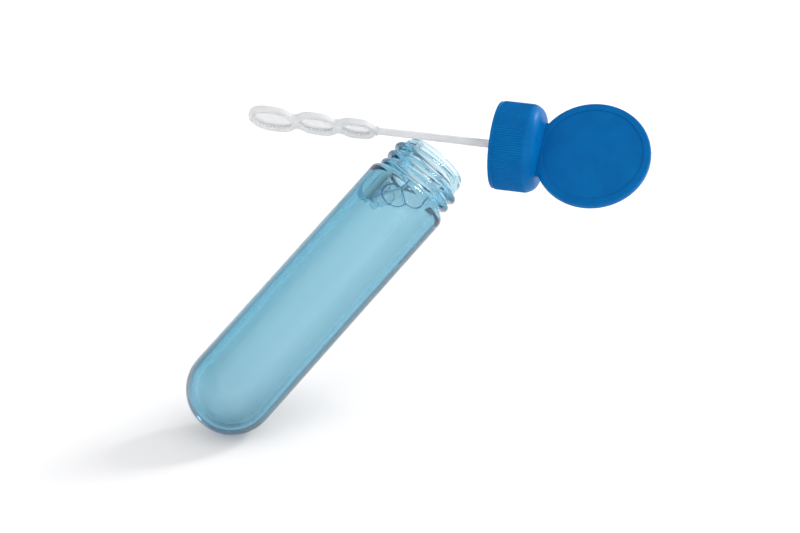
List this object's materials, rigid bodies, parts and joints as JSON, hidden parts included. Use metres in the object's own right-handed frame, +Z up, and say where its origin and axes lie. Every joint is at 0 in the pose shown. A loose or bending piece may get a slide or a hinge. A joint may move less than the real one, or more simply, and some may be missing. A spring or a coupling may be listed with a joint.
{
  "type": "bubble wand",
  "caption": "Leaning screw-neck tube of bubble liquid, with its screw cap taken off: the cap carries a round paddle and a stem with toothed bubble rings.",
  "frame": {"origin": "on the tube's axis at its grip, 60 mm from the round bottom", "axes": "+Z is up, +X is the way the tube leans, and +Y completes a right-handed frame"},
  "size_m": [0.1676, 0.1131, 0.0918],
  "materials": {
    "clear_blue": "clear light blue plastic, polished",
    "liquid": "clear soapy water",
    "film": "soap film",
    "foam": "soap foam",
    "blue_plastic": "opaque blue plastic, satin",
    "liner": "soft white plastic",
    "milky_plastic": "translucent white plastic"
  },
  "bodies": {
    "tube": {"tube": "clear_blue", "bubble_liquid": "liquid", "large_bubbles": "film", "fine_foam": "foam"},
    "cap_seal": {"seal_liner": "liner"},
    "cap": {"cap": "blue_plastic", "wand": "milky_plastic"}
  },
  "joints": [
    {"name": "cap_lift", "type": "slide", "parent": "tube", "child": "cap_seal", "axis": [0, 0, 1], "range_m": [0, 0.09]},
    {"name": "cap_turn", "type": "hinge", "parent": "cap_seal", "child": "cap", "pos_m": [0.07745, 0.0094, 0.03344], "axis": [0.6571, -0.7532, -0.0314], "continuous": true}
  ]
}
